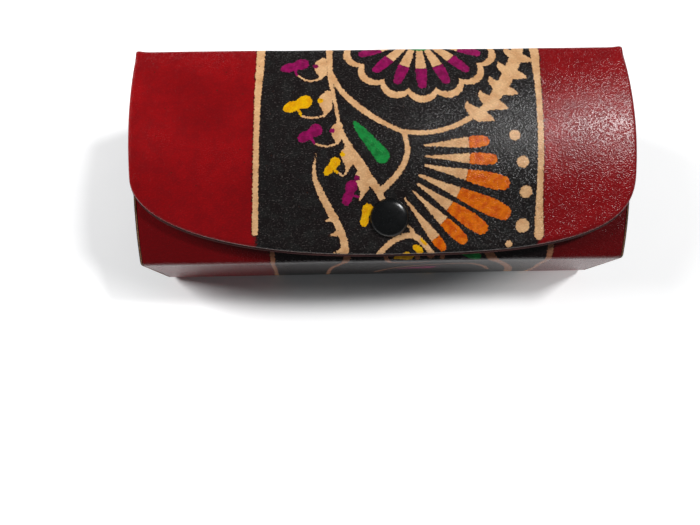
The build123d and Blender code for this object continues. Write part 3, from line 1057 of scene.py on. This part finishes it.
class Nodes:
    """Short ways to add shader nodes to one material."""

    def __init__(self, name, **shader):
        self.material = bpy.data.materials.new(name)
        self.material.use_nodes = True
        self.tree = self.material.node_tree
        self.shader = self.tree.nodes["Principled BSDF"]
        for socket, value in shader.items():
            self.shader.inputs[socket.replace("_", " ")].default_value = value

    def put(self, socket, value):
        """Set a socket to a number, or link it to another node's output."""
        if isinstance(value, bpy.types.NodeSocket):
            self.tree.links.new(value, socket)
        else:
            socket.default_value = value

    def add(self, kind, inputs, output, **settings):
        """Add a node with its inputs and settings, and return one of its outputs."""
        node = self.tree.nodes.new(kind)
        for setting, value in settings.items():
            setattr(node, setting, value)
        for socket, value in inputs.items():
            self.put(node.inputs[socket], value)
        return node.outputs[output]

    def math(self, operation, first, second):
        return self.add("ShaderNodeMath", {0: first, 1: second}, 0, operation=operation)

    def times(self, first, second):
        return self.math("MULTIPLY", first, second)

    def plus(self, first, second):
        return self.math("ADD", first, second)

    def minus(self, first, second):
        return self.math("SUBTRACT", first, second)

    def ramp(self, value, low, high, start=0.0, end=1.0):
        """Map a value from one range to another, smoothly."""
        inputs = {"Value": value, "From Min": low, "From Max": high, "To Min": start, "To Max": end}
        return self.add("ShaderNodeMapRange", inputs, "Result", interpolation_type="SMOOTHSTEP")

    def mix(self, share, first, second):
        return self.add("ShaderNodeMix", {0: share, 6: first, 7: second}, 2, data_type="RGBA")

    def attribute(self, name, output="Fac"):
        return self.add("ShaderNodeAttribute", {}, output, attribute_name=name)

    def object_place(self):
        return self.add("ShaderNodeTexCoord", {}, "Object")

    def noise(self, place, scale, detail=2.0, output="Fac"):
        return self.add("ShaderNodeTexNoise", {"Vector": place, "Scale": scale, "Detail": detail}, output)

    def cells(self, place, scale, feature="F1"):
        inputs = {"Vector": place, "Scale": scale}
        return self.add("ShaderNodeTexVoronoi", inputs, "Distance", feature=feature)

    def stretch(self, place, scale, turn=0.0):
        inputs = {"Vector": place, "Scale": scale, "Rotation": (0, 0, turn)}
        return self.add("ShaderNodeMapping", inputs, "Vector")

    def vector(self, operation, *inputs, output=0):
        return self.add("ShaderNodeVectorMath", dict(enumerate(inputs)), output, operation=operation)

    def wander(self, place, scale, reach):
        """Move a place about a little, so that cells and edges are uneven."""
        drift = self.vector("SUBTRACT", self.noise(place, scale, output="Color"), (0.5, 0.5, 0.5))
        return self.vector("MULTIPLY_ADD", drift, (reach,) * 3, place)

    def mottle(self, place, scale, detail, low, high, first, second):
        """Two colours in soft patches of noise."""
        return self.mix(self.ramp(self.noise(place, scale, detail), low, high), first, second)

    def bump(self, height, depth):
        """Bump of a height from 0 to 1. depth is in millimetres."""
        inputs = {"Height": height, "Distance": depth * MM, "Strength": 1.0}
        return self.add("ShaderNodeBump", inputs, "Normal")

    def finish(self, base, roughness=None, normal=None):
        for socket, value in (("Base Color", base), ("Roughness", roughness), ("Normal", normal)):
            if value is not None:
                self.put(self.shader.inputs[socket], value)
        return self.material


def leather_grain(nodes, place):
    """Domed pebbles, a fine net of creases and soft wrinkles along the case. Returns height, pebbles."""
    uneven = nodes.wander(place, 0.4, 0.5)
    pebbles = nodes.ramp(nodes.cells(nodes.stretch(uneven, (0.95, 1.7, 1), 0.12), 1.5), 0.68, 0.0)
    net = nodes.ramp(nodes.cells(nodes.wander(place, 0.9, 0.5), 2.3, "DISTANCE_TO_EDGE"), 0.0, 0.3)
    wrinkles = nodes.noise(nodes.stretch(uneven, (0.8, 2.0, 1), 0.12), 1.5, 1)
    height = nodes.plus(nodes.times(pebbles, 0.7), nodes.times(net, 0.12))
    return nodes.plus(height, nodes.times(wrinkles, 0.4)), pebbles


def dyed(nodes, name, ragged, soft=0.1):
    """Share of a dye: one inside its edge, with the ragged edge of hand-painted batik."""
    return nodes.ramp(nodes.plus(nodes.attribute(name), ragged), soft, -soft)


# Below this q, on the bottom wall and the front, the colours are darker: painted shade, as under the flap.
# The black there is also turned plum.
BODY_SHADE = -112.0
INKS = {
    "magenta": (colour(152, 13, 90), colour(120, 9, 70)),
    "yellow": (colour(240, 182, 0), colour(228, 158, 1)),
    "green": (colour(22, 142, 62), colour(14, 114, 48)),
    "orange": (colour(230, 116, 0), colour(206, 82, 0)),
}


def batik_colours(nodes, place, ragged, cloud, slow, pebbles):
    """The hide's colour: red, then black, then bare tan, then the inks."""
    along = nodes.add("ShaderNodeSeparateXYZ", {0: place}, "Y")
    # On the bottom wall and the front, the red and the tan are darkened: painted shade. The black there is
    # mixed towards a dark plum.
    on_body = nodes.ramp(along, BODY_SHADE, BODY_SHADE - 8)
    red = nodes.mix(nodes.ramp(slow, 0.3, 0.7), colour(132, 6, 12), colour(152, 8, 15))
    red = nodes.mix(nodes.times(nodes.ramp(cloud, 0.42, 0.62), 0.35), red, colour(120, 8, 16))
    red = nodes.mix(nodes.times(on_body, 0.9), red, colour(100, 3, 8))
    # Lighter grey on the tops of the pebbles in the black: wear, and painted glints of the grain.
    worn_and_glint = nodes.ramp(nodes.noise(nodes.stretch(place, (1, 1.6, 1)), 1.7, 2), 0.47, 0.66)
    black = nodes.mix(nodes.ramp(cloud, 0.4, 0.7), colour(23, 20, 20), colour(30, 31, 30))
    black = nodes.mix(nodes.times(worn_and_glint, pebbles), black, colour(80, 74, 72))
    black = nodes.mix(nodes.times(on_body, 0.6), black, colour(24, 8, 12))
    base = nodes.mix(dyed(nodes, "black", nodes.times(ragged, 2.2), 0.8), red, black)

    # Dark dye that seeped under the resist, in patches round the tan strokes
    seeped = nodes.times(dyed(nodes, "tan", nodes.minus(ragged, 0.45), 0.2),
                         nodes.ramp(nodes.noise(place, 1.1, 3), 0.44, 0.56))
    base = nodes.mix(nodes.times(seeped, 0.8), base, colour(38, 14, 12))
    tan = nodes.mix(nodes.ramp(cloud, 0.35, 0.7), colour(233, 186, 136), colour(214, 162, 112))
    # The tan on the body is darkened: painted shade.
    tan = nodes.mix(nodes.times(on_body, 0.85), tan, colour(148, 90, 68))
    base = nodes.mix(dyed(nodes, "tan", ragged), base, tan)
    for name, (light, dark) in INKS.items():
        ink = nodes.mottle(place, 0.5, 4, 0.38, 0.66, light, dark)
        base = nodes.mix(dyed(nodes, name, ragged), base, ink)
    return base


def batik_leather():
    """Glossy goat leather with hand-painted dyes over a resist pattern."""
    nodes = Nodes("batik_leather", Coat_Weight=0.04, Coat_Roughness=0.2, Specular_IOR_Level=0.38)
    place = nodes.attribute("hide", "Vector")
    ragged = nodes.times(nodes.minus(nodes.noise(place, 1.5, 4), 0.5), 1.25)
    slow = nodes.noise(place, 0.045, 3)
    height, pebbles = leather_grain(nodes, place)
    base = batik_colours(nodes, place, ragged, nodes.noise(place, 0.28, 4), slow, pebbles)

    # Dark pores, and darker colour between the pebbles
    pores = nodes.ramp(nodes.cells(nodes.wander(place, 1.5, 0.4), 0.55), 0.16, 0.1)
    chosen = nodes.ramp(nodes.noise(place, 0.7, 1), 0.6, 0.64)
    base = nodes.mix(nodes.times(nodes.times(pores, chosen), 0.75), base, colour(60, 30, 18))
    base = nodes.mix(nodes.times(nodes.minus(1.0, pebbles), 0.22), base, colour(20, 8, 8))

    streaks = nodes.plus(nodes.times(nodes.noise(place, 2.2, 2), 0.4), nodes.times(slow, 0.6))
    normal = nodes.bump(height, 0.08)
    nodes.put(nodes.shader.inputs["Coat Normal"], normal)
    return nodes.finish(base, nodes.ramp(streaks, 0.3, 0.7, 0.22, 0.28), normal)


def plain_leather():
    """The black leather of the end walls."""
    nodes = Nodes("plain_leather", Coat_Weight=0.05, Coat_Roughness=0.3, Specular_IOR_Level=0.35)
    place = nodes.attribute("hide", "Vector")
    height, pebbles = leather_grain(nodes, place)
    base = nodes.mottle(place, 0.2, 4, 0.4, 0.7, colour(20, 17, 17), colour(36, 24, 24))
    base = nodes.mix(nodes.times(nodes.minus(1.0, pebbles), 0.4), base, colour(8, 6, 6))
    roughness = nodes.ramp(nodes.noise(place, 0.1, 3), 0.3, 0.7, 0.32, 0.45)
    return nodes.finish(base, roughness, nodes.bump(height, 0.05))


def raw_edge(name, light, dark):
    """Cut edge and flesh side of the leather: short pale fibres."""
    nodes = Nodes(name)
    place = nodes.attribute("hide", "Vector")
    fibres = nodes.noise(nodes.stretch(nodes.wander(place, 0.5, 1.0), (1.0, 3.0, 1.0)), 1.6, 5)
    base = nodes.mix(nodes.ramp(fibres, 0.35, 0.65), light, dark)
    return nodes.finish(base, nodes.ramp(fibres, 0.3, 0.7, 0.7, 0.85), nodes.bump(fibres, 0.12))


def lining_cloth():
    """Flocked cloth with a short nap, lighter where the nap leans."""
    nodes = Nodes("lining_cloth", Sheen_Weight=0.15, Sheen_Roughness=0.5)
    place = nodes.attribute("hide", "Vector")
    nap = nodes.noise(nodes.wander(place, 0.8, 0.8), 4.5, 4)
    base = nodes.mottle(place, 0.06, 3, 0.35, 0.65, colour(58, 30, 30), colour(76, 42, 40))
    base = nodes.mix(nodes.times(nodes.ramp(nap, 0.4, 0.7), 0.6), base, colour(28, 14, 15))
    return nodes.finish(base, nodes.ramp(nap, 0.3, 0.7, 0.85, 0.98), nodes.bump(nap, 0.1))


def fibre_board():
    """Pressed fibre board, matt, with flecks."""
    nodes = Nodes("fibre_board")
    place = nodes.object_place()
    flecks = nodes.noise(nodes.stretch(place, (900, 2400, 2400)), 1.0, 5)
    base = nodes.mix(nodes.ramp(flecks, 0.35, 0.65), colour(150, 128, 100), colour(112, 92, 70))
    return nodes.finish(base, nodes.ramp(flecks, 0.3, 0.7, 0.8, 0.9), nodes.bump(flecks, 0.08))


def black_enamel():
    """Glossy enamel with faint orange peel and specks of dust."""
    nodes = Nodes("black_enamel", Coat_Weight=0.2, Coat_Roughness=0.2)
    place = nodes.object_place()
    peel = nodes.noise(place, 420, 2)
    base = nodes.mottle(place, 2600, 2, 0.62, 0.75, colour(7, 8, 9), colour(34, 36, 38))
    return nodes.finish(base, nodes.ramp(peel, 0.3, 0.7, 0.24, 0.34), nodes.bump(peel, 0.02))


def nickel():
    """Nickel-plated pressed steel with fine turning marks."""
    nodes = Nodes("nickel", Metallic=1.0)
    place = nodes.object_place()
    marks = nodes.noise(nodes.stretch(place, (2500, 2500, 9000)), 1.0, 3)
    base = nodes.mottle(place, 500, 3, 0.4, 0.7, colour(196, 192, 184), colour(168, 162, 150))
    return nodes.finish(base, nodes.ramp(marks, 0.3, 0.7, 0.22, 0.36), nodes.bump(marks, 0.01))


def table_paper():
    """A plain near-white floor that glows away from the case. The glow fades near the case, a painted
    shadow that lies more to its left.
    """
    nodes = Nodes("table_paper", Roughness=0.7, Emission_Color=(1, 1, 1, 1))
    place = nodes.object_place()
    # The emission fades out round the case, centred a little to its left: a painted shadow on the floor.
    aside = nodes.stretch(nodes.vector("ADD", place, (0.03, 0, 0)), (6, 14, 9))
    around = nodes.vector("LENGTH", aside, output=1)
    nodes.put(nodes.shader.inputs["Emission Strength"], nodes.ramp(around, 0.58, 0.82, 0.0, 0.35))
    return nodes.finish(nodes.mix(nodes.noise(place, 60, 3), colour(250, 250, 250), colour(246, 246, 247)))


# ---- The object


def build_case():
    batik = batik_leather()
    plain = plain_leather()
    # The flap's cut edge is paler than its shade would show: partly the raw edge's colour, partly a painted
    # highlight along the rim.
    flap_edge_and_glint = raw_edge("flap_cut_edge_and_glint", colour(186, 156, 148), colour(134, 104, 98))
    wrap_edge = raw_edge("wrap_cut_edge", colour(150, 108, 76), colour(98, 66, 46))
    cloth = lining_cloth()
    flap = flap_leather([batik, flap_edge_and_glint])
    rear = rear_leather([batik, flap_edge_and_glint], flap.q[0])
    wrap_leather([batik, wrap_edge], rear.q[0])
    for side, side_name in ((-1, "left"), (1, "right")):
        end_panel(side, f"{side_name}_end_cover", f"{side_name}_end_leather", [plain, wrap_edge])
        end_lining(side, f"{side_name}_end_cloth", f"{side_name}_end_lining", cloth)
    pocket_lining(cloth)
    rear_lining(cloth)
    flap_lining(cloth)
    snap(black_enamel(), nickel())
    board = fibre_board()
    for name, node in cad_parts.items():
        if name.endswith("_board"):
            node.data.materials.clear()
            node.data.materials.append(board)


# ---- Floor, lights and camera

# Camera: its place and lens in millimetres, its turns in degrees
CAMERA_PLACE = (-13.86, -62.49, 195.23)
CAMERA_TURN = (9.728, -0.749, -1.096)
LENS = 25.966
SENSOR = 36


def floor(material):
    """A square of table, three metres wide."""
    half = 1.5
    mesh = bpy.data.meshes.new("floor")
    square = [(-half, -half, 0), (half, -half, 0), (half, half, 0), (-half, half, 0)]
    mesh.from_pydata(square, [], [(0, 1, 2, 3)])
    mesh.materials.append(material)
    piece = bpy.data.objects.new("floor", mesh)
    bpy.context.scene.collection.objects.link(piece)


def soft_light(name, place, aim, size, power, glossy=True):
    """An area light that points at a place. Places and sizes are in millimetres."""
    lamp = bpy.data.lights.new(name, "AREA")
    lamp.shape = "RECTANGLE"
    lamp.size, lamp.size_y = (side * MM for side in size)
    lamp.energy = power
    light = bpy.data.objects.new(name, lamp)
    light.visible_glossy = glossy
    light.location = Vector(place) * MM
    light.rotation_euler = (Vector(aim) - Vector(place)).to_track_quat("-Z", "Y").to_euler()
    bpy.context.scene.collection.objects.link(light)


def set_stage():
    floor(table_paper())
    world = bpy.data.worlds.new("soft_room")
    world.use_nodes = True
    background = world.node_tree.nodes["Background"]
    background.inputs["Color"].default_value = (0.94, 0.97, 1.0, 1)
    background.inputs["Strength"].default_value = 0.08
    bpy.context.scene.world = world
    soft_light("window", (520, 215, 760), (10, 0, 40), (140, 140), 5.0)
    soft_light("fill", (-460, 150, 380), (-20, 0, 30), (260, 260), 3.5, glossy=False)


def set_camera():
    """The photograph's camera, from a fit of the case's outlines."""
    lens = bpy.data.cameras.new("camera")
    lens.lens = LENS
    lens.sensor_width = SENSOR
    lens.clip_start = 0.01
    camera = bpy.data.objects.new("camera", lens)
    camera.location = Vector(CAMERA_PLACE) * MM
    camera.rotation_euler = Euler([math.radians(turn) for turn in CAMERA_TURN])
    bpy.context.scene.collection.objects.link(camera)
    bpy.context.scene.camera = camera
    bpy.context.scene.view_settings.view_transform = "Standard"


build_case()
set_stage()
set_camera()
